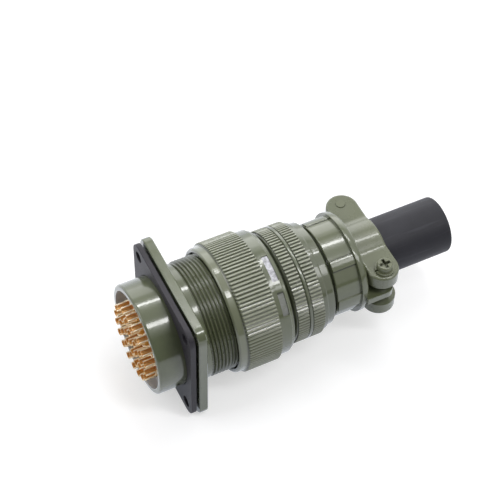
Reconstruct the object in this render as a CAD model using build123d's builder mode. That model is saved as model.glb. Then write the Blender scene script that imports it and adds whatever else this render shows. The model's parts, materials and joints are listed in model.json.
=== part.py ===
"""Square-flange box receptacle, mated straight plug, knurled coupling nut, end bell and cable clamp.

Millimetres. X is the connector axis, +X towards the cable. The origin is the centre of the flange's
rear face, the plane that seats on the panel. Z is up and Y is across, both square to the flange.
"""
from math import cos, pi, radians, sin
import os

from build123d import *

os.makedirs("parts", exist_ok=True)

# Fits and allowances
slip = 0.03             # radial clearance of a piece seated in its own bore
running = 0.08          # radial clearance of a turning or sliding fit
free = 0.35             # radial clearance between pieces that pass without touching
end_play = 0.1          # axial clearance of the captive nut
overlap = 0.4           # how far joined forms reach into each other
margin = 1.0            # how far a cut reaches past the surface
tolerance = 0.01        # for finding edges and corners by their place
full_turn = 360.0       # degrees
top_angle = 90.0        # degrees from +Y to the top

# Receptacle shell
thread_root_r = 21.5    # mating barrel under its thread, which all other radii follow
flange_thick = 3.4
flange_corner = 5.0
flange_chamfer = 0.35
flange_proud = 0.2      # how far each side stands past the nut's ribs
bolt_edge = 5.55        # from a side to the centre of its holes
bolt_hole_r = 1.87
barrel_step = 0.45      # from the mating barrel down to the rear barrel
barrel_length = 13.3
barrel_wall = 2.15
barrel_rim_round = 0.9
collar_height = 0.55
collar_length = 3.3
thread_lead = 0.4       # cone between the collar and the thread's barrel
thread_chamfer = 0.6
shell_front = 24.5      # open end of the mating barrel
mating_wall = 1.1
mating_bore_start = 8.6
shoulder_x = 6.2        # inner shoulder that stops the insert
shoulder_height = 1.3
keyway_width = 3.6
keyway_depth = 0.7

# Flange gasket
gasket_inset = 0.6      # how far its edge lies inside the flange's edge
gasket_thick = 2.1
gasket_corner = 5.2
gasket_gap = 0.9        # from the gasket to the flange's rear face
gasket_hole_r = 2.2

# Contacts, three rings round one at the centre
outer_ring_count = 18
outer_ring_r = 13.5
outer_ring_start = 25.0
middle_ring_count = 12
middle_ring_r = 9.0
middle_ring_start = 35.0
inner_ring_count = 6
inner_ring_r = 4.6
inner_ring_start = 75.0
pin_r = 0.8
pin_tip_x = 16.2
cup_r = 1.45
cup_wall = 0.42
cup_length = 7.6
cup_well = 6.0
scoop_length = 5.2
scoop_floor = 0.15      # height of the scoop's flat above the contact axis

# Receptacle insert
insert_face_x = -8.2
insert_nose_x = 8.8

# Snap rings
ring_wire = 1.1
ring_grip = 0.5         # depth of each ring's groove
ring_reach = 1.3        # how far a ring stands inside its bore
ring_gap_angle = 26.0

# Plug shell, at its mated place
plug_front_x = 9.2
plug_wall = 1.8
plug_lip_height = 0.8
plug_lip_length = 2.6
key_width = 2.8
key_length = 11.0
drive_ring_room = 0.55  # from the shoulder that the nut pulls on to the nut's bore
drive_ring_x = 25.6
drive_ring_thick = 3.2
seat_step = 0.15        # from the nose up to the bearing that the nut turns on
plug_thread_step = 0.6
plug_rear_x = 50.0
plug_chamfer = 0.5
plug_insert_rear_x = 37.0
plug_insert_gap = 0.5   # between the two insert noses when mated
socket_depth = 9.6

# Coupling nut, its walls measured from its bore
nut_thread_room = 1.05  # from the mating barrel to the nut's bore
nut_front_x = 16.5
nut_front_cone = 0.7
nut_chamfer = 0.5
nut_lip_wall = 1.45
nut_band_wall = 1.85
nut_rear_wall = 1.55
nut_web_thick = 3.0
knurl_count = 108
knurl_start_x = 19.4
knurl_end_x = 33.2
knurl_lead = 1.0        # length of the cone at the ribs' front ends
knurl_height = 0.8      # from the band to the ribs' crests
knurl_depth = 0.5
rib_share = 0.6         # width of a rib's crest as a share of the pitch
nut_taper_x = 36.5
nut_taper_drop = 0.2
nut_round_x = 38.0
nut_round_drop = 0.7
nut_rear_x = 39.2
nut_rear_drop = 1.7
mark_front_x = 35.1
mark_rear_x = 37.6
mark_front_depth = 0.4
mark_rear_depth = 0.85
mark_angles = ((4.0, 25.0), (40.0, 21.0))   # start from the top and span of each recess
nut_ring_thick = 1.2
nut_ring_height = 1.4   # from the plug's thread to the ring's outside

# End bell
bell_front_x = 40.6
bell_chamfer = 0.5
bell_wall = 1.8         # from its thread to the band beside the knurls
bell_knurl_count = 96
bell_knurl_depth = 0.5
bell_knurl_height = 0.75
bell_knurl_a = (41.3, 45.8)
bell_knurl_b = (47.6, 52.2)
bell_ridge_x = (45.9, 47.4)
bell_ridge_slope = 0.35
bell_band_end_x = 52.4
bell_step_x = 54.3
bell_step_drop = 0.7
bell_groove_drop = 0.4
bell_groove_length = 0.3
bell_taper_x = 57.3
bell_taper_drop = 2.0   # these drops are measured from the band
bell_end_x = 58.2
bell_end_drop = 3.2
bell_cone_x = (53.0, 56.2)
bell_nipple_drop = 5.8
bell_nipple_wall = 1.6
bell_nipple_x = 66.4

# Clamp body
clamp_front_x = 59.2
clamp_wall = 2.67
clamp_rib_height = 0.5
clamp_chamfer = 0.3
rib_tilt = 35.5         # degrees from the top and from the bottom
rib_width = 3.9
cheek_rib_width = 6.0
rim_front_x = 69.0
rim_cone_x = 70.9
rim_rear_x = 71.8
rim_height = 1.4
rim_rear_drop = 0.7
collar_seat_x = 69.4    # inner shoulder that holds the bushing
cheek_thick = 3.1
cheek_edge = 4.3        # from the screw to the cheek's outer face
cheek_inset = 1.0       # from the bushing's hole to the cheek's inner face
cheek_reach = 3.6       # past the screw
cheek_round = 3.4

# Cable bushing
bushing_wall = 2.4
bushing_collar_height = 3.1
bushing_collar_room = 1.43
bushing_end_x = 112.5
bushing_end_round = 1.0

# Saddles and their screws
saddle_x = 78.5         # centre of both screws
hump_wall = 1.6
hump_blend = 5.0
hump_height = 2.2       # from the ears up to the hump's top
ear_thick = 5.6
ear_r = 6.2
ear_shift = 1.4         # from the screw back to the centre of the ear's round end
saddle_round = 0.9
screw_inset = 5.9       # from the bushing's side to the screw
saddle_gap = 0.3        # between the saddle's bore and the bushing
screw_r = 1.75
screw_hole_r = 2.1
screw_end_proud = 0.3
screw_head_r = 2.95
screw_head_height = 2.4
screw_head_round = 0.7
recess_width = 1.1
recess_span = 4.1
recess_depth = 1.5
washer_r = 3.65
washer_thick = 1.0
washer_gap = 0.7

# Places worked out from the sizes above
barrel_end_x = -barrel_length
thread_x = flange_thick + collar_length
barrel_r = thread_root_r - barrel_step
barrel_bore_r = barrel_r - barrel_wall
collar_r = thread_root_r + collar_height
mating_bore_r = thread_root_r - mating_wall
shoulder_bore_r = barrel_bore_r - shoulder_height
insert_r = barrel_bore_r - slip
insert_nose_r = shoulder_bore_r - slip
cup_mouth_x = insert_face_x - cup_length
keyway_r = mating_bore_r + keyway_depth
key_r = keyway_r - free
plug_nose_r = mating_bore_r - free
seat_r = plug_nose_r + seat_step
plug_thread_r = seat_r - plug_thread_step
plug_bore_r = plug_thread_r - plug_wall
plug_lip_bore_r = plug_bore_r - plug_lip_height
plug_nose_x = insert_nose_x + plug_insert_gap
plug_insert_r = plug_bore_r - slip
plug_nose_insert_r = plug_lip_bore_r - slip
drive_ring_end_x = drive_ring_x + drive_ring_thick
nut_bore_r = thread_root_r + nut_thread_room
drive_ring_r = nut_bore_r - drive_ring_room
nut_lip_r = nut_bore_r + nut_lip_wall
nut_band_r = nut_bore_r + nut_band_wall
nut_rear_r = nut_bore_r + nut_rear_wall
knurl_crest_r = nut_band_r + knurl_height
flange_side = 2 * (knurl_crest_r + flange_proud)
bolt_pitch = flange_side - 2 * bolt_edge
gasket_side = flange_side - 2 * gasket_inset
nut_web_x = drive_ring_end_x + end_play
nut_web_end_x = nut_web_x + nut_web_thick
nut_web_bore_r = seat_r + running
nut_ring_x = nut_web_end_x + end_play
nut_ring_end_x = nut_ring_x + nut_ring_thick
nut_ring_r = plug_thread_r + nut_ring_height
nut_skirt_bore_r = nut_ring_r + free
bell_edge_r = plug_thread_r + bell_wall
bell_knurl_crest_r = bell_edge_r + bell_knurl_height
bell_step_r = bell_edge_r - bell_step_drop
bell_nipple_r = bell_edge_r - bell_nipple_drop
bell_bore_r = bell_nipple_r - bell_nipple_wall
clamp_bore_r = bell_nipple_r + slip
clamp_r = clamp_bore_r + clamp_wall
clamp_rib_r = clamp_r + clamp_rib_height
rim_r = clamp_r + rim_height
bushing_collar_r = clamp_bore_r - bushing_collar_room
bushing_r = bushing_collar_r - bushing_collar_height
bushing_bore_r = bushing_r - bushing_wall
bushing_hole_r = bushing_r + slip
saddle_bore_r = bushing_r + saddle_gap
screw_y = bushing_r + screw_inset
cheek_start_x = (rim_front_x + rim_rear_x) / 2
cheek_inner_y = bushing_hole_r + cheek_inset
cheek_outer_y = screw_y + cheek_edge
cheek_end_x = saddle_x + cheek_reach
hump_r = saddle_bore_r + hump_wall
ear_top = hump_r - hump_height
ear_underside = ear_top - ear_thick
ear_tip_y = screw_y - ear_shift + ear_r
washer_top = ear_top + washer_thick


def section(points):
    """Closed half section of a turned piece, from (x, radius) points."""
    with BuildSketch(Plane.XY) as half:
        with BuildLine():
            Polyline(*points, close=True)
        make_face()
    return half.sketch


def serration(count, crest_r, depth):
    """Outline of a straight knurl, flat-topped ribs with a V groove between them."""
    groove = (1 + rib_share) / 2
    points = []
    for i in range(count):
        for radius, place in ((crest_r, i), (crest_r, i + rib_share), (crest_r - depth, i + groove)):
            turn = 2 * pi * place / count
            points.append((radius * cos(turn), radius * sin(turn)))
    with BuildSketch(Plane.YZ) as star:
        with BuildLine():
            Polyline(*points, close=True)
        make_face()
    return star.sketch


def circle_edges(part, x, radius):
    """Edges round the axis at one place and one radius."""
    rings = part.edges().filter_by(GeomType.CIRCLE)
    return rings.filter_by(lambda e: abs(e.radius - radius) < tolerance and abs(e.arc_center.X - x) < tolerance)


def flange_edges(part):
    """Outline of the flange on both its faces: four sides and four round corners each."""
    on_faces = part.edges().filter_by(Axis.X, reverse=True).filter_by(
        lambda e: abs(e.center().X - flange_thick / 2) < flange_thick / 2 + tolerance)
    corners = on_faces.filter_by(GeomType.CIRCLE).filter_by(lambda e: abs(e.radius - flange_corner) < tolerance)
    return on_faces.filter_by(GeomType.LINE) + corners


def snap_ring(x, outer_r, inner_r, thick):
    """Flat C-shaped ring with its gap at the bottom."""
    with BuildPart() as ring:
        with BuildSketch(Plane.YZ.offset(x)):
            Circle(outer_r)
            Circle(inner_r, mode=Mode.SUBTRACT)
            with BuildLine():
                reach = 2 * outer_r
                half = radians(ring_gap_angle / 2)
                Polyline((0, 0), (-reach * sin(half), -reach * cos(half)),
                         (reach * sin(half), -reach * cos(half)), close=True)
            make_face(mode=Mode.SUBTRACT)
        extrude(amount=thick)
    return ring.part


def contact_places():
    """(y, z) of each contact, from the outer ring to the centre."""
    rings = (
        (outer_ring_count, outer_ring_r, outer_ring_start),
        (middle_ring_count, middle_ring_r, middle_ring_start),
        (inner_ring_count, inner_ring_r, inner_ring_start),
    )
    places = []
    for count, ring_r, start in rings:
        for i in range(count):
            turn = radians(start + full_turn * i / count)
            places.append((ring_r * cos(turn), ring_r * sin(turn)))
    places.append((0, 0))
    return places


# Receptacle shell: rear barrel, square flange, collar and mating barrel
with BuildPart() as receptacle_shell:
    revolve(section([
        (barrel_end_x, barrel_bore_r), (barrel_end_x, barrel_r), (flange_thick / 2, barrel_r),
        (flange_thick / 2, collar_r), (thread_x, collar_r), (thread_x + thread_lead, thread_root_r),
        (shell_front - thread_chamfer, thread_root_r), (shell_front, thread_root_r - thread_chamfer),
        (shell_front, mating_bore_r), (mating_bore_start, mating_bore_r),
        (mating_bore_start, shoulder_bore_r), (shoulder_x, shoulder_bore_r), (shoulder_x, barrel_bore_r),
        (insert_face_x, barrel_bore_r), (insert_face_x, barrel_bore_r + ring_grip),
        (insert_face_x - ring_wire, barrel_bore_r + ring_grip), (insert_face_x - ring_wire, barrel_bore_r),
    ]).faces(), axis=Axis.X)
    fillet(circle_edges(receptacle_shell, barrel_end_x, barrel_r), barrel_rim_round)
    with BuildSketch(Plane.YZ):
        RectangleRounded(flange_side, flange_side, flange_corner)
        Circle(barrel_r - overlap, mode=Mode.SUBTRACT)
        with GridLocations(bolt_pitch, bolt_pitch, 2, 2):
            Circle(bolt_hole_r, mode=Mode.SUBTRACT)
    extrude(amount=flange_thick)
    chamfer(flange_edges(receptacle_shell), flange_chamfer)
    with BuildSketch(Plane.YZ.offset(shell_front)):
        with Locations((0, mating_bore_r)):
            Rectangle(keyway_width, 2 * keyway_depth)
    extrude(amount=mating_bore_start - shell_front, mode=Mode.SUBTRACT)
receptacle_shell.part.label = "receptacle_shell"
export_step(receptacle_shell.part, "parts/receptacle_shell.step")

# Gasket on the rear barrel, just behind the flange
with BuildPart() as flange_gasket:
    with BuildSketch(Plane.YZ.offset(-gasket_gap - gasket_thick)):
        RectangleRounded(gasket_side, gasket_side, gasket_corner)
        Circle(barrel_r + slip, mode=Mode.SUBTRACT)
        with GridLocations(bolt_pitch, bolt_pitch, 2, 2):
            Circle(gasket_hole_r, mode=Mode.SUBTRACT)
    extrude(amount=gasket_thick)
flange_gasket.part.label = "flange_gasket"
export_step(flange_gasket.part, "parts/flange_gasket.step")

# Receptacle insert, stopped by the shell's inner shoulder
with BuildPart() as receptacle_insert:
    revolve(section([
        (insert_face_x, 0), (insert_face_x, insert_r), (shoulder_x, insert_r),
        (shoulder_x, insert_nose_r), (insert_nose_x, insert_nose_r), (insert_nose_x, 0),
    ]).faces(), axis=Axis.X)
    with BuildSketch(Plane.YZ.offset(insert_face_x)):
        with Locations(*contact_places()):
            Circle(pin_r + slip)
    extrude(amount=insert_nose_x - insert_face_x, mode=Mode.SUBTRACT)
receptacle_insert.part.label = "receptacle_insert"
export_step(receptacle_insert.part, "parts/receptacle_insert.step")

# Snap ring behind the receptacle insert
receptacle_ring = snap_ring(insert_face_x - ring_wire, barrel_bore_r + ring_grip,
                            barrel_bore_r - ring_reach, ring_wire)
receptacle_ring.label = "receptacle_insert_ring"
export_step(receptacle_ring, "parts/receptacle_insert_ring.step")

# Pin contact: solder cup with its scoop, seated on the insert's rear face, and pin to the front
with BuildPart() as pin_contact:
    revolve(section([
        (cup_mouth_x, cup_r - cup_wall), (cup_mouth_x, cup_r), (insert_face_x, cup_r),
        (insert_face_x, pin_r), (pin_tip_x - pin_r / 2, pin_r), (pin_tip_x, pin_r / 2), (pin_tip_x, 0),
        (cup_mouth_x + cup_well, 0), (cup_mouth_x + cup_well, cup_r - cup_wall),
    ]).faces(), axis=Axis.X)
    with BuildSketch(Plane.XZ):
        with BuildLine():
            Polyline((cup_mouth_x - margin, scoop_floor), (cup_mouth_x + scoop_length - cup_r, scoop_floor),
                     (cup_mouth_x + scoop_length, cup_r + margin), (cup_mouth_x - margin, cup_r + margin),
                     close=True)
        make_face()
    extrude(amount=2 * cup_r, both=True, mode=Mode.SUBTRACT)
for number, (y, z) in enumerate(contact_places(), start=1):
    pin = Pos(0, y, z) * pin_contact.part
    pin.label = f"pin_contact_{number:02d}"
    export_step(pin, f"parts/{pin.label}.step")

# Plug shell: nose with its key, drive shoulder, bearing, ring groove and rear thread
with BuildPart() as plug_shell:
    revolve(section([
        (plug_front_x, plug_lip_bore_r), (plug_front_x, plug_nose_r - plug_chamfer),
        (plug_front_x + plug_chamfer, plug_nose_r), (drive_ring_x, plug_nose_r),
        (drive_ring_x, drive_ring_r), (drive_ring_end_x, drive_ring_r), (drive_ring_end_x, seat_r),
        (nut_ring_x, seat_r), (nut_ring_x, plug_thread_r - ring_grip),
        (nut_ring_end_x, plug_thread_r - ring_grip), (nut_ring_end_x, plug_thread_r),
        (plug_rear_x, plug_thread_r), (plug_rear_x, plug_bore_r), (plug_insert_rear_x + ring_wire, plug_bore_r),
        (plug_insert_rear_x + ring_wire, plug_bore_r + ring_grip),
        (plug_insert_rear_x, plug_bore_r + ring_grip), (plug_insert_rear_x, plug_bore_r),
        (plug_front_x + plug_lip_length, plug_bore_r), (plug_front_x + plug_lip_length, plug_lip_bore_r),
    ]).faces(), axis=Axis.X)
    with BuildSketch(Plane.YZ.offset(plug_front_x + plug_chamfer)):
        with Locations((0, (plug_nose_r + key_r - overlap) / 2)):
            Rectangle(key_width, key_r - plug_nose_r + overlap)
    extrude(amount=key_length)
plug_shell.part.label = "plug_shell"
export_step(plug_shell.part, "parts/plug_shell.step")

# Plug insert with the sockets' entries
with BuildPart() as plug_insert:
    revolve(section([
        (plug_nose_x, 0), (plug_nose_x, plug_nose_insert_r),
        (plug_front_x + plug_lip_length, plug_nose_insert_r),
        (plug_front_x + plug_lip_length, plug_insert_r), (plug_insert_rear_x, plug_insert_r),
        (plug_insert_rear_x, 0),
    ]).faces(), axis=Axis.X)
    with BuildSketch(Plane.YZ.offset(plug_nose_x)):
        with Locations(*contact_places()):
            Circle(pin_r + running)
    extrude(amount=socket_depth, mode=Mode.SUBTRACT)
plug_insert.part.label = "plug_insert"
export_step(plug_insert.part, "parts/plug_insert.step")

# Snap ring behind the plug insert
plug_ring = snap_ring(plug_insert_rear_x, plug_bore_r + ring_grip, plug_bore_r - ring_reach, ring_wire)
plug_ring.label = "plug_insert_ring"
export_step(plug_ring, "parts/plug_insert_ring.step")

# Coupling nut: plain lip, straight knurl, rear band with two bare marking recesses
with BuildPart() as coupling_nut:
    revolve(section([
        (nut_front_x, nut_bore_r + nut_chamfer), (nut_front_x, nut_lip_r - nut_chamfer),
        (nut_front_x + nut_front_cone, nut_lip_r), (knurl_start_x, nut_band_r),
        (knurl_end_x, nut_band_r), (knurl_end_x, nut_rear_r), (nut_taper_x, nut_rear_r - nut_taper_drop),
        (nut_round_x, nut_rear_r - nut_round_drop), (nut_rear_x, nut_rear_r - nut_rear_drop),
        (nut_rear_x, nut_skirt_bore_r), (nut_web_end_x, nut_skirt_bore_r), (nut_web_end_x, nut_web_bore_r),
        (nut_web_x, nut_web_bore_r), (nut_web_x, nut_bore_r), (nut_front_x + nut_chamfer, nut_bore_r),
    ]).faces(), axis=Axis.X)
    with BuildSketch(Plane.YZ.offset(knurl_start_x)):
        add(serration(knurl_count, knurl_crest_r, knurl_depth))
        Circle(nut_band_r - overlap, mode=Mode.SUBTRACT)
    extrude(amount=knurl_end_x - knurl_start_x)
    revolve(section([
        (knurl_start_x, nut_band_r), (knurl_start_x + 2 * knurl_lead, nut_band_r + 2 * knurl_height),
        (knurl_start_x, nut_band_r + 2 * knurl_height),
    ]).faces(), axis=Axis.X, mode=Mode.SUBTRACT)
    mark = section([
        (mark_front_x, nut_rear_r - mark_front_depth), (mark_front_x, knurl_crest_r),
        (mark_rear_x, knurl_crest_r), (mark_rear_x, nut_rear_r - mark_rear_depth),
    ])
    for start, span in mark_angles:
        revolve((Rot(X=top_angle + start) * mark).faces(), axis=Axis.X, revolution_arc=span, mode=Mode.SUBTRACT)
coupling_nut.part.label = "coupling_nut"
export_step(coupling_nut.part, "parts/coupling_nut.step")

# Ring that keeps the nut on the plug
nut_ring = snap_ring(nut_ring_x, nut_ring_r, plug_thread_r - ring_grip, nut_ring_thick)
nut_ring.label = "nut_retaining_ring"
export_step(nut_ring, "parts/nut_retaining_ring.step")

# End bell: two knurled bands, ridge, cone, groove, and the rear nipple
with BuildPart() as end_bell:
    revolve(section([
        (bell_front_x, plug_thread_r + slip), (bell_front_x, bell_edge_r - bell_chamfer),
        (bell_front_x + bell_chamfer, bell_edge_r), (bell_ridge_x[0], bell_edge_r),
        (bell_ridge_x[0] + bell_ridge_slope, bell_knurl_crest_r),
        (bell_ridge_x[1] - bell_ridge_slope, bell_knurl_crest_r), (bell_ridge_x[1], bell_edge_r),
        (bell_band_end_x, bell_edge_r), (bell_step_x, bell_step_r),
        (bell_step_x, bell_step_r - bell_groove_drop),
        (bell_step_x + bell_groove_length, bell_step_r - bell_groove_drop),
        (bell_taper_x, bell_edge_r - bell_taper_drop), (bell_end_x, bell_edge_r - bell_end_drop),
        (bell_end_x, bell_nipple_r),
        (bell_nipple_x, bell_nipple_r), (bell_nipple_x, bell_bore_r), (bell_cone_x[1], bell_bore_r),
        (bell_cone_x[0], plug_bore_r), (plug_rear_x, plug_bore_r), (plug_rear_x, plug_thread_r + slip),
    ]).faces(), axis=Axis.X)
    for start_x, end_x in (bell_knurl_a, bell_knurl_b):
        with BuildSketch(Plane.YZ.offset(start_x)):
            add(serration(bell_knurl_count, bell_knurl_crest_r, bell_knurl_depth))
            Circle(bell_edge_r - overlap, mode=Mode.SUBTRACT)
        extrude(amount=end_x - start_x)
end_bell.part.label = "end_bell"
export_step(end_bell.part, "parts/end_bell.step")

# Clamp body: ribbed barrel, rim, inner shoulder and two cheeks
with BuildPart() as clamp_body:
    revolve(section([
        (clamp_front_x, clamp_bore_r), (clamp_front_x, clamp_r - clamp_chamfer),
        (clamp_front_x + clamp_chamfer, clamp_r), (rim_front_x, clamp_r), (rim_front_x, rim_r),
        (rim_cone_x, rim_r), (rim_rear_x, rim_r - rim_rear_drop), (rim_rear_x, bushing_hole_r),
        (collar_seat_x, bushing_hole_r), (collar_seat_x, clamp_bore_r),
    ]).faces(), axis=Axis.X)
    with BuildSketch(Plane.YZ.offset(clamp_front_x + clamp_chamfer)):
        Rectangle(2 * clamp_rib_r, cheek_rib_width)
        Rectangle(rib_width, 2 * clamp_rib_r, rotation=rib_tilt)
        Rectangle(rib_width, 2 * clamp_rib_r, rotation=-rib_tilt)
        Circle(clamp_rib_r, mode=Mode.INTERSECT)
        Circle(clamp_r - overlap, mode=Mode.SUBTRACT)
    extrude(amount=rim_front_x - clamp_front_x)
    with BuildSketch(Plane.XY.offset(-cheek_thick / 2)) as cheeks:
        with Locations(((cheek_start_x + cheek_end_x) / 2, 0)):
            Rectangle(cheek_end_x - cheek_start_x, 2 * cheek_outer_y)
            Rectangle(cheek_end_x - cheek_start_x + margin, 2 * cheek_inner_y, mode=Mode.SUBTRACT)
        fillet(cheeks.vertices().group_by(Axis.X)[-1], cheek_round)
        with Locations((saddle_x, screw_y), (saddle_x, -screw_y)):
            Circle(screw_hole_r, mode=Mode.SUBTRACT)
    extrude(amount=cheek_thick)
clamp_body.part.label = "clamp_body"
export_step(clamp_body.part, "parts/clamp_body.step")

# Cable bushing, its collar caught between the bell and the clamp body
with BuildPart() as cable_bushing:
    revolve(section([
        (bell_nipple_x, bushing_bore_r), (bell_nipple_x, bushing_collar_r),
        (collar_seat_x, bushing_collar_r), (collar_seat_x, bushing_r), (bushing_end_x, bushing_r),
        (bushing_end_x, bushing_bore_r),
    ]).faces(), axis=Axis.X)
    fillet(circle_edges(cable_bushing, bushing_end_x, bushing_r), bushing_end_round)
cable_bushing.part.label = "cable_bushing"
export_step(cable_bushing.part, "parts/cable_bushing.step")

# Saddle: half arch over the bushing that flows into a thick round ear each side
with BuildPart() as saddle:
    with BuildSketch(Plane.YZ.offset(saddle_x - ear_r - margin)) as arch:
        Circle(hump_r)
        with Locations((0, ear_underside - hump_r)):
            Rectangle(2 * (hump_r + margin), 2 * hump_r, mode=Mode.SUBTRACT)
        with Locations((0, (ear_top + ear_underside) / 2)):
            Rectangle(2 * ear_tip_y, ear_thick)
        hollows = arch.vertices().filter_by(lambda v: abs(v.Y - ear_top) < tolerance and abs(v.X) < hump_r)
        fillet(hollows, hump_blend)
    extrude(amount=2 * (ear_r + margin))
    with BuildSketch(Plane.XY):
        with Locations((saddle_x, 0)):
            SlotOverall(2 * ear_tip_y, 2 * ear_r, rotation=top_angle)
    extrude(amount=hump_r + margin, mode=Mode.INTERSECT)
    top_edges = saddle.edges().filter_by(Axis.X, reverse=True)
    fillet(top_edges.filter_by(lambda e: e.center().Z > ear_top - tolerance), saddle_round)
    with BuildSketch(Plane.YZ.offset(saddle_x - ear_r - margin)):
        Circle(saddle_bore_r)
    extrude(amount=2 * (ear_r + margin), mode=Mode.SUBTRACT)
    with BuildSketch(Plane.XY):
        with Locations((saddle_x, -screw_y)):
            Circle(screw_hole_r)
        with Locations((saddle_x, screw_y)):
            Circle(screw_r + running)
    extrude(amount=ear_top + margin, mode=Mode.SUBTRACT)
upper_saddle = saddle.part
upper_saddle.label = "upper_saddle"
export_step(upper_saddle, "parts/upper_saddle.step")
lower_saddle = Rot(X=full_turn / 2) * saddle.part
lower_saddle.label = "lower_saddle"
export_step(lower_saddle, "parts/lower_saddle.step")

# Split lock washer under the near screw's head, and its twin below the far ear
with BuildPart() as lock_washer:
    with BuildSketch(Plane.XY.offset(ear_top)):
        with Locations((saddle_x, -screw_y)):
            Circle(washer_r)
            Circle(screw_hole_r, mode=Mode.SUBTRACT)
        with Locations((saddle_x - washer_r, -screw_y)):
            Rectangle(2 * washer_r, washer_gap, mode=Mode.SUBTRACT)
    extrude(amount=washer_thick)
near_washer = lock_washer.part
near_washer.label = "near_lock_washer"
export_step(near_washer, "parts/near_lock_washer.step")
far_washer = Rot(X=full_turn / 2) * lock_washer.part
far_washer.label = "far_lock_washer"
export_step(far_washer, "parts/far_lock_washer.step")

# Clamp screw: pan head with a cross recess, its end just past the opposite ear
with BuildPart() as clamp_screw:
    with Locations((saddle_x, -screw_y, washer_top)):
        Cylinder(screw_head_r, screw_head_height, align=(Align.CENTER, Align.CENTER, Align.MIN))
    fillet(clamp_screw.edges().group_by(Axis.Z)[-1], screw_head_round)
    with BuildSketch(Plane.XY.offset(washer_top + screw_head_height)):
        with Locations((saddle_x, -screw_y)):
            Rectangle(recess_span, recess_width)
            Rectangle(recess_width, recess_span)
    extrude(amount=-recess_depth, mode=Mode.SUBTRACT)
    with BuildSketch(Plane.XY.offset(-ear_top - screw_end_proud)):
        with Locations((saddle_x, -screw_y)):
            Circle(screw_r)
    extrude(amount=ear_top + screw_end_proud + washer_top)
near_screw = clamp_screw.part
near_screw.label = "near_clamp_screw"
export_step(near_screw, "parts/near_clamp_screw.step")
far_screw = Rot(X=full_turn / 2) * clamp_screw.part
far_screw.label = "far_clamp_screw"
export_step(far_screw, "parts/far_clamp_screw.step")
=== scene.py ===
"""Looks of the mated connector pair: painted shells, rubber, gold cups, threads and screw heads.

Metres, in the part's own frame: X runs along the connector towards the cable and Z is up.
"""
import json
import math
from collections import namedtuple

import bpy
from mathutils import Matrix, Vector


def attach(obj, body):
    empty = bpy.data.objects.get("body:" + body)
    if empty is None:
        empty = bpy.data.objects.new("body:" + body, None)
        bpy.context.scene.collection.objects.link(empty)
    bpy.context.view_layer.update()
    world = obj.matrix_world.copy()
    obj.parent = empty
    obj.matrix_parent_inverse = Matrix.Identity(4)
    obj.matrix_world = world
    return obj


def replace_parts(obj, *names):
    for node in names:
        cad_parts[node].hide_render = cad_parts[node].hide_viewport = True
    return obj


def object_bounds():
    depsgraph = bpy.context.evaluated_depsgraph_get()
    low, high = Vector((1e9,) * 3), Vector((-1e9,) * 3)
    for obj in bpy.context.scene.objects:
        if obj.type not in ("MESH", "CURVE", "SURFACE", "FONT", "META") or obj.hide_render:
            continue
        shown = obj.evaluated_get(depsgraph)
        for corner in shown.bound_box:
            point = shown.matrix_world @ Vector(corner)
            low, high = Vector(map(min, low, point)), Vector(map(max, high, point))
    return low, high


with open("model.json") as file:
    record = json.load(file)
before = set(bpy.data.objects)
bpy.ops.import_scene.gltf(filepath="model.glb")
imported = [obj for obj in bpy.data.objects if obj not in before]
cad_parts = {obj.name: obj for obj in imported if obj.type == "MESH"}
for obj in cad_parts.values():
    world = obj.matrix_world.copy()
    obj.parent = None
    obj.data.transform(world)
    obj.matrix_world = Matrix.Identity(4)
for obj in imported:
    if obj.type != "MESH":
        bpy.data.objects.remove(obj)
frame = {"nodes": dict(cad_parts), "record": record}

cad_box = [list(corner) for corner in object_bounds()]
nodes = frame["nodes"]
MM = 0.001

# Places on the connector, in millimetres. Turns are in degrees from the top to the near side.
BARREL_BORE = 18.9
THREAD_ROOT, THREAD_CREST, THREAD_PITCH = 21.4, 22.15, 25.4 / 18
THREAD_START, THREAD_END = 7.4, 23.6
THREAD_ZONE = (THREAD_START - 0.6, THREAD_END + 0.4)
NUT_LIP, NUT_RIBS = (16.0, 19.6), (19.6, 33.2)
NUT_ROOT, NUT_CREST, NUT_RIB_COUNT = 24.7, 25.2, 108
BELL_RIBS = ((41.3, 45.8), (47.6, 52.2))
BELL_ROOT, BELL_CREST, BELL_RIB_COUNT = 21.65, 22.15, 96
CLAMP_WINDOWS, CLAMP_WINDOW_TOP = (59.5, 69.0), 18.4
SCREW_X, SCREW_Y = 78.5, 17.0
EAR_UNDERSIDE = 5.2
SHANK_CREST, SHANK_ROOT, SHANK_PITCH = 1.95, 1.7, 0.6
HEAD_TOP, CROSS_REACH, CROSS_DEPTH = 14.2, 2.05, 1.5
CUP_MOUTH, INSERT_FACE, CUP_RADIUS, WELL_RADIUS = -15.8, -8.2, 1.45, 1.03
SCOOP_END, SCOOP_SLOPE, SCOOP_SILL = CUP_MOUTH + 3.75, 1.2, 0.15

# The nut's two recesses: turns, places along x, floor radii there, and walls in millimetres and degrees.
# From the edge turn inwards a point lies on the floor.
BRIGHT_RECESS, DULL_RECESS = (4.0, 29.0), (40.0, 61.0)
RECESS_START, RECESS_END = 35.1, 37.6
RECESS_START_RADIUS, RECESS_END_RADIUS = 23.75, 23.65
RECESS_WALL, RECESS_WALL_TURN, RECESS_EDGE_TURN = 0.06, 0.25, 0.2

# The feet of the clamp's ribs, where painted shade lies: first turn, last turn, softness
CLAMP_RIB_FEET = ((41.4, 43.0, 0.4), (28.2, 29.4, 0.3))
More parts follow.
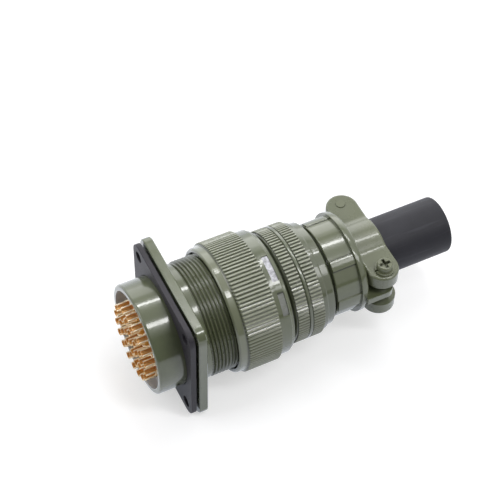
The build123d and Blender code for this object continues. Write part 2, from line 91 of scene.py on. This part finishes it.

# Colours of the paints, of the painted shade and highlight on them, and of what shows where they are worn or
# bare
OLIVE = (0.111, 0.128, 0.074)
BELL_OLIVE = (0.106, 0.121, 0.077)
SADDLE_OLIVE = (0.123, 0.138, 0.086)
SCREW_OLIVE = (0.128, 0.143, 0.088)
# Rubbed paint, also used as painted highlight on the crests of knurls and threads
WEAR_AND_SHEEN = (0.31, 0.325, 0.24)
# Painted shade in the grooves, along the feet of the clamp's ribs and at the edge of the nut's dull recess
PAINTED_SHADE = (0.022, 0.025, 0.018)
THREAD_DARK_OLIVE = (0.060, 0.068, 0.026)
BORE_BLUE_GREY = (0.52, 0.53, 0.58)
BARE_DARK, BARE_BRIGHT = (0.18, 0.18, 0.19), (0.50, 0.50, 0.54)
BARE_DULL = (0.25, 0.255, 0.25)
CROSS_SHADE = (0.045, 0.050, 0.027)
SHANK_STEEL = (0.45, 0.45, 0.44)

# Colours of the rubbers, the resin, the ring steel and the contacts
GASKET_BLACK = (0.030, 0.028, 0.034)
BUSHING_BLACK = (0.018, 0.018, 0.023)
RESIN_DARK, RESIN_LIGHT = (0.060, 0.036, 0.034), (0.11, 0.066, 0.06)
STEEL_DARK, STEEL_LIGHT = (0.42, 0.42, 0.42), (0.58, 0.57, 0.55)
GOLD, TARNISH = (1.0, 0.72, 0.28), (0.95, 0.60, 0.18)
# Painted brown shade in the solder wells, and painted highlight on the cup rims
WELL_SHADE_BROWN, RIM_HIGHLIGHT = (0.66, 0.32, 0.11), (1.0, 0.90, 0.70)

Place = namedtuple("Place", "where x radius turn")
Coating = namedtuple("Coating", "tone rough metal coat")


class Value:
    """A socket in a sum. Its operators add Math nodes."""

    def __init__(self, finish, socket):
        self.finish, self.socket = finish, socket

    def __add__(self, other):
        return self.finish.math("ADD", self, other)

    def __sub__(self, other):
        return self.finish.math("SUBTRACT", self, other)

    def __rsub__(self, other):
        return self.finish.math("SUBTRACT", other, self)

    def __mul__(self, other):
        return self.finish.math("MULTIPLY", self, other)

    def __truediv__(self, other):
        return self.finish.math("DIVIDE", self, other)

    def __pow__(self, other):
        return self.finish.math("POWER", self, other)

    def __abs__(self):
        return self.finish.math("ABSOLUTE", self)

    __radd__, __rmul__ = __add__, __mul__


class Finish:
    """The nodes of one material or world, and the means to add to them."""

    def __init__(self, holder):
        holder.use_nodes = True
        self.holder, self.tree = holder, holder.node_tree
        self.tree.nodes.clear()

    def add(self, kind, settings=None, sockets=None):
        """One node, its settings first and then its sockets' values or links."""
        node = self.tree.nodes.new(kind)
        for name, value in (settings or {}).items():
            setattr(node, name, value)
        for name, value in (sockets or {}).items():
            if isinstance(name, int):
                socket = node.inputs[name]
            else:
                socket = next(s for s in node.inputs if s.name == name and s.enabled)
            if isinstance(value, Value):
                self.tree.links.new(value.socket, socket)
            elif socket.type == "RGBA" and len(value) == 3:
                socket.default_value = (*value, 1.0)
            else:
                socket.default_value = value
        return node

    def out(self, kind, settings=None, sockets=None, output=None):
        """The first output in use, or the named one, of a new node."""
        node = self.add(kind, settings, sockets)
        return Value(self, next(s for s in node.outputs if s.enabled and output in (None, s.name)))

    def math(self, operation, *terms):
        return self.out("ShaderNodeMath", {"operation": operation}, dict(enumerate(terms)))

    def coordinates(self, kind):
        return self.out("ShaderNodeTexCoord", output=kind)

    def rays(self, kind):
        """1 for rays of a kind, such as Is Camera Ray, and 0 for others."""
        return self.out("ShaderNodeLightPath", output=kind)

    def split(self, vector):
        """The three parts of a vector."""
        parts = self.add("ShaderNodeSeparateXYZ", sockets={"Vector": vector})
        return [Value(self, part) for part in parts.outputs]

    def place(self):
        """A point's object coordinates, its x and radius in millimetres, and its turn in degrees."""
        where = self.coordinates("Object")
        x, y, z = self.split(where)
        turn = self.math("ARCTAN2", y * -1.0, z) * (180 / math.pi)
        return Place(where, x / MM, (y * y + z * z) ** 0.5 / MM, turn)

    def noise(self, where, scale, detail=3.0, rough=0.5):
        return self.out("ShaderNodeTexNoise", sockets={
            "Vector": where, "Scale": scale, "Detail": detail, "Roughness": rough}, output="Fac")

    def streaks(self, where, scale, stretch):
        """Noise drawn out by unequal scales along x, y and z."""
        return self.noise(self.out("ShaderNodeMapping", sockets={"Vector": where, "Scale": stretch}), scale)

    def ramp(self, value, low, high, start=0.0, end=1.0):
        """Value mapped from low..high to start..end, held outside."""
        return self.out("ShaderNodeMapRange", sockets={
            "Value": value, "From Min": low, "From Max": high, "To Min": start, "To Max": end})

    def fall(self, value, low, high):
        """1 up to low, and down to 0 at high."""
        return self.ramp(value, low, high, 1.0, 0.0)

    def within(self, value, low, high, soft):
        """1 between low and high, 0 outside, with soft shoulders."""
        return self.ramp(value, low - soft, low + soft) * self.fall(value, high - soft, high + soft)

    def mix(self, factor, a, b):
        return self.out("ShaderNodeMix", {"data_type": "RGBA"}, {
            "Factor": factor, "A": a, "B": b}, output="Result")

    def bump(self, height, strength, distance):
        return self.out("ShaderNodeBump", sockets={
            "Height": height, "Strength": strength, "Distance": distance}, output="Normal")

    def surface(self, **sockets):
        """The Principled surface and the output. Underscores in names stand for spaces."""
        shader = self.out("ShaderNodeBsdfPrincipled", sockets={
            name.replace("_", " "): value for name, value in sockets.items()})
        self.add("ShaderNodeOutputMaterial", sockets={"Surface": shader})
        return self.holder


def new_finish(name):
    """An empty finish for a new material."""
    return Finish(bpy.data.materials.new(name))


def olive_paint(name, colour, ribs=(), root=0.0, crest=0.0, groove_shade=0.6, rub=0.75, shine=0.16, coat=0.5,
                marks=None):
    """Baked olive enamel: faint mottle, orange peel, painted shade in the grooves and crests lightened by
    rubbing and painted highlight, on knurls and threads.
    """
    f = new_finish(name)
    at = f.place()
    mottle = f.noise(at.where, 160.0, 4.0, 0.6)
    cloud = f.noise(at.where, 38.0, 2.0)
    peel = f.noise(at.where, 1100.0, 2.0)
    specks = f.ramp(f.noise(at.where, 4200.0, 2.0), 0.70, 0.78)
    darker = [0.84 * c for c in colour]
    warmer = [c * k for c, k in zip(colour, (1.1, 1.06, 0.98))]
    tone = f.mix(f.ramp(mottle, 0.3, 0.7), colour, darker)
    tone = f.mix(f.ramp(cloud, 0.35, 0.65, 0.0, 0.5), tone, warmer)
    tone = f.mix(specks * 0.12, tone, WEAR_AND_SHEEN)
    rough = f.ramp(mottle, 0.3, 0.7, shine - 0.03, shine + 0.05)
    coat = f.ramp(peel, 0.2, 0.8, 1.15 * coat, 0.85 * coat)
    if ribs:
        rise = crest - root
        zone = f.within(at.x, *ribs[0], 0.05)
        for more in ribs[1:]:
            zone = zone + f.within(at.x, *more, 0.05)
        # Painted shade down in the grooves, and crests lighter from rubbing and from painted highlight
        tone = f.mix(zone * f.ramp(at.radius, root, root + 0.6 * rise, groove_shade, 0.0), tone, PAINTED_SHADE)
        rubbed_and_lit = zone * f.ramp(at.radius, root + 0.3 * rise, crest, 0.0, rub)
        tone = f.mix(rubbed_and_lit * f.ramp(mottle, 0.3, 0.7, 0.6, 1.0), tone, WEAR_AND_SHEEN)
        coat = coat * (1.0 - zone * 0.5)
    paint = Coating(tone, rough, 0.0, coat)
    if marks:
        paint = marks(f, at, paint)
    return f.surface(
        Base_Color=paint.tone, Roughness=paint.rough, Metallic=paint.metal, Coat_Weight=paint.coat,
        Coat_Roughness=0.03, Normal=f.bump(peel, 0.22, 0.00003))


def shell_marks(f, at, paint):
    """The rear barrel's bore in a light blue-grey, and the coupling thread in a darker, yellower olive than
    the barrels beside it.
    """
    bore = f.fall(at.radius, BARREL_BORE + 0.05, BARREL_BORE + 0.2) * f.fall(at.x, -1.0, 0.0)
    thread = f.within(at.x, *THREAD_ZONE, 0.05) * f.ramp(at.radius, THREAD_ROOT - 0.1, THREAD_ROOT)
    tone = f.mix(bore * 0.9, paint.tone, BORE_BLUE_GREY)
    tone = f.mix(thread * 0.55, tone, THREAD_DARK_OLIVE)
    return Coating(tone, paint.rough + thread * 0.12, 0.0, paint.coat * (1.0 - thread * 0.5))


def clamp_marks(f, at, paint):
    """Painted shade along the foot of the clamp's ribs."""
    first, second = (f.within(abs(at.turn), *foot) for foot in CLAMP_RIB_FEET)
    foot = (first + second) * f.within(at.x, *CLAMP_WINDOWS, 0.2) * f.fall(
        at.radius, CLAMP_WINDOW_TOP, CLAMP_WINDOW_TOP + 0.2)
    # Painted shade in the corners where the ribs meet the windows
    return paint._replace(tone=f.mix(foot * 0.8, paint.tone, PAINTED_SHADE))


def nut_marks(f, at, paint):
    """The nut's lip made lighter, and its two bare recesses: one worn bright, one dull with painted shade
    along its upper edge.
    """
    across = f.within(at.x, RECESS_START + 0.05, RECESS_END - 0.05, 0.06)
    bright = across * f.within(at.turn, BRIGHT_RECESS[0] + 0.3, BRIGHT_RECESS[1] - 0.3, 0.3)
    dull = across * f.within(at.turn, DULL_RECESS[0] + 0.3, DULL_RECESS[1] - 0.3, 0.3)
    shade_above = across * f.within(at.turn, DULL_RECESS[0] - 1.4, DULL_RECESS[0] + 0.3, 0.2)
    rub = f.streaks(at.where, 900.0, (0.5, 1.0, 1.0))
    patch = f.noise(at.where, 900.0, 3.0, 0.7)
    bare = f.mix(f.ramp(patch, 0.35, 0.65), BARE_DARK, BARE_BRIGHT)
    # A lighter band over the nut's lip
    tone = f.mix(f.within(at.x, *NUT_LIP, 0.2) * 0.28, paint.tone, WEAR_AND_SHEEN)
    tone = f.mix(bright * f.ramp(rub, 0.25, 0.45, 0.75, 1.0), tone, bare)
    tone = f.mix(dull * f.ramp(rub, 0.3, 0.6, 0.5, 0.8), tone, BARE_DULL)
    # Painted shade along the upper edge of the dull recess, where its wall would cast shadow
    tone = f.mix(shade_above * 0.8, tone, PAINTED_SHADE)
    return Coating(tone, paint.rough + bright * 0.2, bright * 0.3, paint.coat * (1.0 - bright))


def screw_marks(f, at, paint):
    """The clamp screws' bare steel shanks, and the shade in and round their cross recesses."""
    x, y, z = f.split(at.where)
    height = abs(z) / MM
    along, across = abs(x / MM - SCREW_X), abs(abs(y) / MM - SCREW_Y)
    off = (along * along + across * across) ** 0.5
    shank = f.fall(height, EAR_UNDERSIDE - 0.1, EAR_UNDERSIDE + 0.1)
    cross = f.fall(off, CROSS_REACH + 0.02, CROSS_REACH + 0.05) * f.within(
        height, HEAD_TOP - CROSS_DEPTH - 0.2, HEAD_TOP - 0.12, 0.08)
    flare = f.fall(f.math("MINIMUM", along, across), 0.70, 0.80) * f.fall(off, 2.2, 2.4) * f.ramp(
        height, HEAD_TOP - 0.12, HEAD_TOP - 0.05)
    tone = f.mix(cross * 0.35 + flare * 0.6, paint.tone, CROSS_SHADE)
    tone = f.mix(shank, tone, SHANK_STEEL)
    return Coating(tone, paint.rough + shank * 0.1, shank, paint.coat * (1.0 - shank))


def rubber(name, colour, shine, streak):
    """Moulded rubber: fine grain, faint lengthwise streaks and a soft shine."""
    f = new_finish(name)
    where = f.coordinates("Object")
    bloom = f.noise(where, 90.0, 4.0, 0.6)
    grain = f.noise(where, 2600.0, 3.0, 0.6)
    drawn = f.streaks(where, 700.0, (0.06, 1.0, 1.0))
    tone = f.mix(f.ramp(bloom, 0.35, 0.7), colour, [1.3 * c for c in colour])
    tone = f.mix(f.ramp(drawn, 0.58, 0.75, 0.0, streak), tone, [3.0 * c for c in colour])
    return f.surface(
        Base_Color=tone, Roughness=f.ramp(grain, 0.3, 0.7, shine - 0.05, shine + 0.08),
        Specular_IOR_Level=0.25, Normal=f.bump(grain, 0.2, 0.00004))


def gold_plate(name):
    """Gold plating over brass: painted highlight on the rims, tarnished sides and painted brown shade in the
    solder wells.
    """
    f = new_finish(name)
    where = f.coordinates("Object")
    x = f.split(where)[0] / MM
    sides = f.split(f.coordinates("Generated"))[1:]
    across, up = ((side - 0.5) * (2 * CUP_RADIUS) for side in sides)
    cup = f.fall(x, INSERT_FACE - 0.2, INSERT_FACE - 0.1)
    well = cup * f.fall((across * across + up * up) ** 0.5, WELL_RADIUS + 0.02, WELL_RADIUS + 0.05)
    scoop = f.math("MAXIMUM", x - SCOOP_END, 0.0) * SCOOP_SLOPE + SCOOP_SILL
    rim = cup * f.fall(scoop - up, 0.2, 0.42)
    stain = f.noise(where, 420.0, 4.0, 0.6)
    drawn = f.streaks(where, 3600.0, (0.15, 1.0, 1.0))
    tone = f.mix(f.ramp(stain, 0.4, 0.75, 0.0, 0.6), GOLD, TARNISH)
    # Painted shade in the wells and painted highlight on the rims
    tone = f.mix(well * 0.8, tone, WELL_SHADE_BROWN)
    tone = f.mix(rim * 0.9, tone, RIM_HIGHLIGHT)
    return f.surface(
        Base_Color=tone, Metallic=0.5 - rim * 0.35, Roughness=f.ramp(drawn, 0.3, 0.7, 0.26, 0.4),
        Normal=f.bump(drawn, 0.12, 0.00002))


def moulded_resin(name):
    """Dark moulded insert resin with a fine matt grain."""
    f = new_finish(name)
    where = f.coordinates("Object")
    grain = f.noise(where, 1800.0)
    tone = f.mix(f.noise(where, 110.0), RESIN_DARK, RESIN_LIGHT)
    return f.surface(
        Base_Color=tone, Roughness=f.ramp(grain, 0.3, 0.7, 0.42, 0.55),
        Normal=f.bump(grain, 0.15, 0.00003))


def spring_steel(name):
    """Flat spring steel with fine rolling marks."""
    f = new_finish(name)
    rolled = f.streaks(f.coordinates("Object"), 2400.0, (1.0, 0.1, 1.0))
    return f.surface(
        Base_Color=f.mix(rolled, STEEL_DARK, STEEL_LIGHT), Metallic=1.0,
        Roughness=f.ramp(rolled, 0.3, 0.7, 0.25, 0.4))


finishes = {
    "shell_paint": olive_paint("shell_paint", OLIVE, (THREAD_ZONE,), THREAD_ROOT + 0.05, THREAD_CREST,
                               groove_shade=0.8, rub=0.12, marks=shell_marks),
    "nut_paint": olive_paint("nut_paint", OLIVE, (NUT_RIBS,), NUT_ROOT, NUT_CREST, marks=nut_marks),
    "bell_paint": olive_paint("bell_paint", BELL_OLIVE, BELL_RIBS, BELL_ROOT, BELL_CREST),
    "clamp_paint": olive_paint("clamp_paint", OLIVE, marks=clamp_marks),
    "saddle_paint": olive_paint("saddle_paint", SADDLE_OLIVE, shine=0.26, coat=0.3),
    "screw_paint": olive_paint("screw_paint", SCREW_OLIVE, shine=0.30, coat=0.2, marks=screw_marks),
    "gasket_rubber": rubber("gasket_rubber", GASKET_BLACK, shine=0.45, streak=0.12),
    "bushing_rubber": rubber("bushing_rubber", BUSHING_BLACK, shine=0.48, streak=0.35),
    "insert_resin": moulded_resin("insert_resin"),
    "contact_gold": gold_plate("contact_gold"),
    "ring_steel": spring_steel("ring_steel"),
}
for entry in frame["record"]["subparts"]:
    piece = nodes[entry["node"]]
    piece.data.materials.clear()
    piece.data.materials.append(finishes[entry["material_slot"]])


def even_shading(piece):
    """Lets the large faces set the shading, so that narrow rounded edges don't bend it."""
    even = piece.modifiers.new("even_shading", "WEIGHTED_NORMAL")
    even.mode, even.weight, even.keep_sharp = "FACE_AREA_WITH_ANGLE", 50, True


def soften(name, width):
    """Rounds a CAD node's sharp edges by a width in millimetres."""
    weld = nodes[name].modifiers.new("joined_corners", "WELD")
    weld.merge_threshold = 0.001 * MM
    edge = nodes[name].modifiers.new("broken_edges", "BEVEL")
    edge.width, edge.segments = width * MM, 2
    edge.limit_method, edge.angle_limit = "ANGLE", math.radians(38)
    even_shading(nodes[name])


for name, width in (("clamp_body", 0.14), ("flange_gasket", 0.25), ("near_clamp_screw", 0.10),
                    ("far_clamp_screw", 0.10), ("near_lock_washer", 0.12), ("far_lock_washer", 0.12)):
    soften(name, width)
for name in nodes:
    if name.startswith("pin_contact_"):
        soften(name, 0.06)


def new_piece(name, points, faces, body, slot):
    """A mesh piece that rides on a body and takes a finish. Its points are in millimetres."""
    mesh = bpy.data.meshes.new(name)
    mesh.from_pydata([[part * MM for part in point] for point in points], [], faces)
    mesh.validate()
    mesh.shade_smooth()
    mesh.set_sharp_from_angle(angle=math.radians(35))
    mesh.update()
    piece = bpy.data.objects.new(name, mesh)
    bpy.context.scene.collection.objects.link(piece)
    even_shading(piece)
    mesh.materials.append(finishes[slot])
    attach(piece, body)
    return piece


def rounded(profile, size):
    """A closed outline of (x, radius, rib height) rings. Each (x, radius) corner becomes a short curve."""
    rings = []
    for before, corner, after in zip(profile[-1:] + profile[:-1], profile, profile[1:] + profile[:1]):
        if len(corner) == 3:
            rings.append(corner)
            continue
        middle = Vector(corner)
        start, end = (middle + way.normalized() * min(size, 0.3 * way.length)
                      for way in (Vector(before[:2]) - middle, Vector(after[:2]) - middle))
        for t in (0.0, 0.33, 0.67, 1.0):
            rings.append((*(start * (1 - t) ** 2 + middle * (2 * t * (1 - t)) + end * t ** 2), 0.0))
    return rings


# Places across one rib from groove to groove, and how far each rises from root to crest
RIB_SHAPE = ((0.0, 0.0), (0.06, 0.05), (0.25, 0.45), (0.46, 0.94), (0.53, 0.99), (0.66, 1.0), (0.78, 0.96),
             (0.84, 0.85), (0.95, 0.05), (1.0, 0.0))
FIRST_GROOVE = 0.8


def rib_rise(place):
    """Height, from 0 to 1, at a place counted in ribs."""
    place %= 1.0
    for (low, start), (high, end) in zip(RIB_SHAPE, RIB_SHAPE[1:]):
        if place <= high:
            return start + (end - start) * (place - low) / (high - low)


def turned(rings, ribs, recesses=()):
    """Points and faces of a turned piece with straight ribs, cut down to the floor of its recesses."""
    turns = [360 * (i + FIRST_GROOVE + place) / ribs for i in range(ribs) for place, _ in RIB_SHAPE[:-1]]
    for start, end in recesses:
        turns += [90 + start, 90 + start + RECESS_WALL_TURN, 90 + end - RECESS_WALL_TURN, 90 + end]
    turns = sorted(t % 360 for t in turns)
    points, faces = [], []
    for x, root, height in rings:
        share = (x - RECESS_START) / (RECESS_END - RECESS_START)
        recess_floor = RECESS_START_RADIUS + (RECESS_END_RADIUS - RECESS_START_RADIUS) * share
        crossed = root > RECESS_START_RADIUS - 1 and (
            RECESS_START + RECESS_WALL / 2 < x < RECESS_END - RECESS_WALL / 2)
        for t in turns:
            radius = root + height * rib_rise(t / 360 * ribs - FIRST_GROOVE)
            if crossed and any(
                    start + RECESS_EDGE_TURN < t - 90 < end - RECESS_EDGE_TURN for start, end in recesses):
                radius = recess_floor
            points.append((x, radius * math.cos(math.radians(t)), radius * math.sin(math.radians(t))))
    count = len(turns)
    for number in range(len(rings)):
        a, b = number * count, (number + 1) % len(rings) * count
        faces += [(a + k, a + (k + 1) % count, b + (k + 1) % count, b + k) for k in range(count)]
    return points, faces


# Coupling nut: lip, V-cut straight knurl, and the rear band with its two recesses
nut_outline = rounded([
    (16.5, 23.05), (16.5, 23.6), (17.1, 24.2), (19.4, 24.25), (19.8, NUT_ROOT, 0.0), (20.3, NUT_ROOT, 0.42),
    (20.5, NUT_ROOT, 0.5), (33.08, NUT_ROOT, 0.5), (33.2, 24.62, 0.42), (33.2, 24.1),
    (RECESS_START, 24.08, 0.0), (RECESS_START + RECESS_WALL, 24.08, 0.0),
    (RECESS_END - RECESS_WALL, 24.02, 0.0), (RECESS_END, 24.02, 0.0),
    (37.8, 24.0), (38.1, 23.3), (39.2, 23.2), (39.2, 21.35), (31.9, 21.35), (31.9, 20.28), (28.9, 20.28),
    (28.9, 22.55), (17.0, 22.55)], 0.28)
nut_shape = turned(nut_outline, NUT_RIB_COUNT, (BRIGHT_RECESS, DULL_RECESS))
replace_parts(new_piece("knurled_nut", *nut_shape, "nut", "nut_paint"), "coupling_nut")

# End bell: two knurled bands, the ridge between them, the cone and the nipple in the clamp
bell_outline = rounded([
    (40.6, 19.63), (40.6, 20.9), (41.1, 21.4), (41.3, 21.4), (41.3, 21.6, 0.42), (41.4, BELL_ROOT, 0.5),
    (45.75, BELL_ROOT, 0.5), (45.85, 21.6, 0.42), (45.85, 21.55), (45.95, 21.6), (46.15, 22.15),
    (47.25, 22.15), (47.45, 21.6), (47.55, 21.55), (47.55, 21.6, 0.42), (47.65, BELL_ROOT, 0.5),
    (52.1, BELL_ROOT, 0.5), (52.2, 21.6, 0.42), (52.2, 21.25), (54.15, 21.2), (54.3, 20.4), (54.6, 20.25),
    (57.3, 20.1), (58.2, 18.6), (58.2, 15.6), (66.4, 15.6), (66.4, 14.0), (56.2, 14.0), (53.0, 17.8),
    (50.0, 17.8), (50.0, 19.63)], 0.25)
bell_shape = turned(bell_outline, BELL_RIB_COUNT)
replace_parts(new_piece("knurled_bell", *bell_shape, "plug", "bell_paint"), "end_bell")


def helical_ridge(start, end, outline, pitch, steps_per_turn):
    """Points (along, side, side) and faces of a ridge round an axis, which fades in and out at its ends.

    The outline has the ridge's (share of the pitch, radius) points. The first gives the root.
    """
    steps = int((end - start) / pitch * steps_per_turn)
    fade = 0.2 * steps_per_turn
    root, size = outline[0][1], len(outline)
    points, faces = [], []
    for i in range(steps + 1):
        turn = 2 * math.pi * i / steps_per_turn
        grown = max(min(1.0, i / fade, (steps - i) / fade), 0.02)
        along = start + pitch * i / steps_per_turn
        for share, radius in outline:
            radius = root + (radius - root) * grown
            points.append((along + share * pitch, radius * math.cos(turn), radius * math.sin(turn)))
        if i:
            a, b = size * (i - 1), size * i
            faces += [(b + k, b + (k + 1) % size, a + (k + 1) % size, a + k) for k in range(size)]
    return points, faces + [tuple(range(size)), tuple(size * steps + k for k in reversed(range(size)))]


# Coupling thread round the mating barrel, and the threads of the two clamp screws between the ears
thread_outline = (
    (-0.42, THREAD_ROOT), (-0.36, THREAD_ROOT + 0.12), (-0.10, THREAD_CREST - 0.06), (-0.05, THREAD_CREST),
    (0.05, THREAD_CREST), (0.10, THREAD_CREST - 0.06), (0.36, THREAD_ROOT + 0.12), (0.42, THREAD_ROOT))
thread_shape = helical_ridge(THREAD_START, THREAD_END, thread_outline, THREAD_PITCH, 120)
new_piece("coupling_thread", *thread_shape, "receptacle", "shell_paint")
shank_outline = ((-0.42, SHANK_ROOT), (-0.06, SHANK_CREST), (0.06, SHANK_CREST), (0.42, SHANK_ROOT))
shank_points, shank_faces = helical_ridge(
    0.3 - EAR_UNDERSIDE, EAR_UNDERSIDE - 0.3, shank_outline, SHANK_PITCH, 40)
for body, side in (("near_screw", -SCREW_Y), ("far_screw", SCREW_Y)):
    upright = [(SCREW_X + a, side + b, up) for up, a, b in shank_points]
    new_piece(body + "_thread", upright, shank_faces, body, "screw_paint")

# Floor just under the flange and the nut: pale paper that the camera sees as white
FLOOR_HALF = 1.5
floor_z = cad_box[0][2]
floor_mesh = bpy.data.meshes.new("floor")
floor_mesh.from_pydata(
    [(FLOOR_HALF * x, FLOOR_HALF * y, floor_z) for x, y in ((-1, -1), (1, -1), (1, 1), (-1, 1))],
    [], [(0, 1, 2, 3)])
floor = bpy.data.objects.new("floor", floor_mesh)
bpy.context.scene.collection.objects.link(floor)
f = new_finish("floor_paper")
seen, mirrored = f.rays("Is Camera Ray"), f.rays("Is Glossy Ray")
paper = f.out("ShaderNodeBsdfDiffuse", sockets={"Color": (0.62, 0.62, 0.63)})
glow = f.out("ShaderNodeEmission", sockets={
    "Color": f.mix(mirrored, (1.0, 1.0, 1.0), (0.90, 0.97, 1.10)),
    "Strength": seen * 0.50 + mirrored * 0.48})
both = f.out("ShaderNodeAddShader", sockets={0: paper, 1: glow})
f.add("ShaderNodeOutputMaterial", sockets={"Surface": both})
floor_mesh.materials.append(f.holder)

# Studio surround: white backdrop, lighter behind the connector and darker on the near side.
# Soft is what lights the connector, and mirrored is what its gloss shows.
NEAR_SIDE = (-0.463, -0.886)
world = bpy.data.worlds.new("studio")
bpy.context.scene.world = world
f = Finish(world)
dx, dy, dz = f.split(f.coordinates("Generated"))
near = dx * NEAR_SIDE[0] + dy * NEAR_SIDE[1]
dark = f.ramp(near, 0.0, 0.5) * f.fall(dz, 0.72, 0.84)
behind = f.fall(near, -0.7, -0.2) * f.fall(dz, 0.6, 0.75)
soft = 0.36 + behind * 0.42 - dark * 0.2
mirrored = 0.76 + behind * 0.6 - dark * 0.66
backdrop = f.math("MAXIMUM", f.rays("Is Camera Ray"), f.rays("Is Transmission Ray"))
glossy = f.rays("Is Glossy Ray") * (1.0 - backdrop)
strength = backdrop + glossy * mirrored + (1.0 - backdrop - glossy) * soft
studio = f.out("ShaderNodeBackground", sockets={"Color": (1.0, 1.0, 1.0), "Strength": strength})
f.add("ShaderNodeOutputWorld", sockets={"Surface": studio})

AIM = Vector((0.03, 0.0, 0.0))


def strip(name, start, end, width, radiance):
    """Long soft lamp between two points, its face turned to the connector."""
    start, end = Vector(start), Vector(end)
    middle, along = (start + end) / 2, (end - start).normalized()
    towards = middle - AIM
    towards = (towards - along * towards.dot(along)).normalized()
    lamp = bpy.data.lights.new(name, "AREA")
    lamp.shape, lamp.size, lamp.size_y = "RECTANGLE", (end - start).length, width
    lamp.energy = radiance * math.pi * lamp.size * lamp.size_y
    holder = bpy.data.objects.new(name, lamp)
    holder.matrix_world = Matrix.Translation(middle) @ Matrix((
        along, towards.cross(along), towards)).transposed().to_4x4()
    bpy.context.scene.collection.objects.link(holder)


strip("strip_back", (0.06, 0.55, 0.7), (0.40, 0.02, 0.7), 0.048, 18.0)
strip("strip_front", (0.08, -0.165, 0.7), (0.36, -0.390, 0.7), 0.085, 13.0)
strip("fill_front", (0.35, -0.43, 0.7), (0.74, -0.686, 0.7), 0.24, 4.8)
strip("fill_low", (0.19, -0.62, 0.30), (0.75, -0.62, 0.30), 0.46, 0.65)
strip("fill_top", (0.19, 0.0, 0.85), (0.95, 0.0, 0.85), 1.0, 0.55)
strip("fill_back", (0.20, 0.62, 0.35), (0.90, 0.62, 0.35), 0.55, 0.7)
strip("fill_mouth", (-0.50, 0.02, 0.36), (-0.50, 0.42, 0.36), 0.4, 2.8)
strip("backlight", (-0.6, 1.0, 0.45), (0.9, 1.0, 0.45), 0.6, 1.0)

# Camera at the photograph's angle, no shift
EYE = Vector((-0.1242, -0.2986, 0.4632))
ACROSS = Vector((0.8975, -0.4406, 0.0192))
BACK = Vector((-0.2834, -0.5427, 0.7907))
camera = bpy.data.cameras.new("camera")
camera.sensor_width, camera.lens = 36.0, 111.74
camera.clip_start, camera.clip_end = 0.01, 10.0
view = bpy.data.objects.new("camera", camera)
back = BACK.normalized()
across = (ACROSS - back * ACROSS.dot(back)).normalized()
view.matrix_world = Matrix.Translation(EYE) @ Matrix((across, back.cross(across), back)).transposed().to_4x4()
bpy.context.scene.collection.objects.link(view)
bpy.context.scene.camera = view
bpy.context.scene.view_settings.view_transform = "Standard"
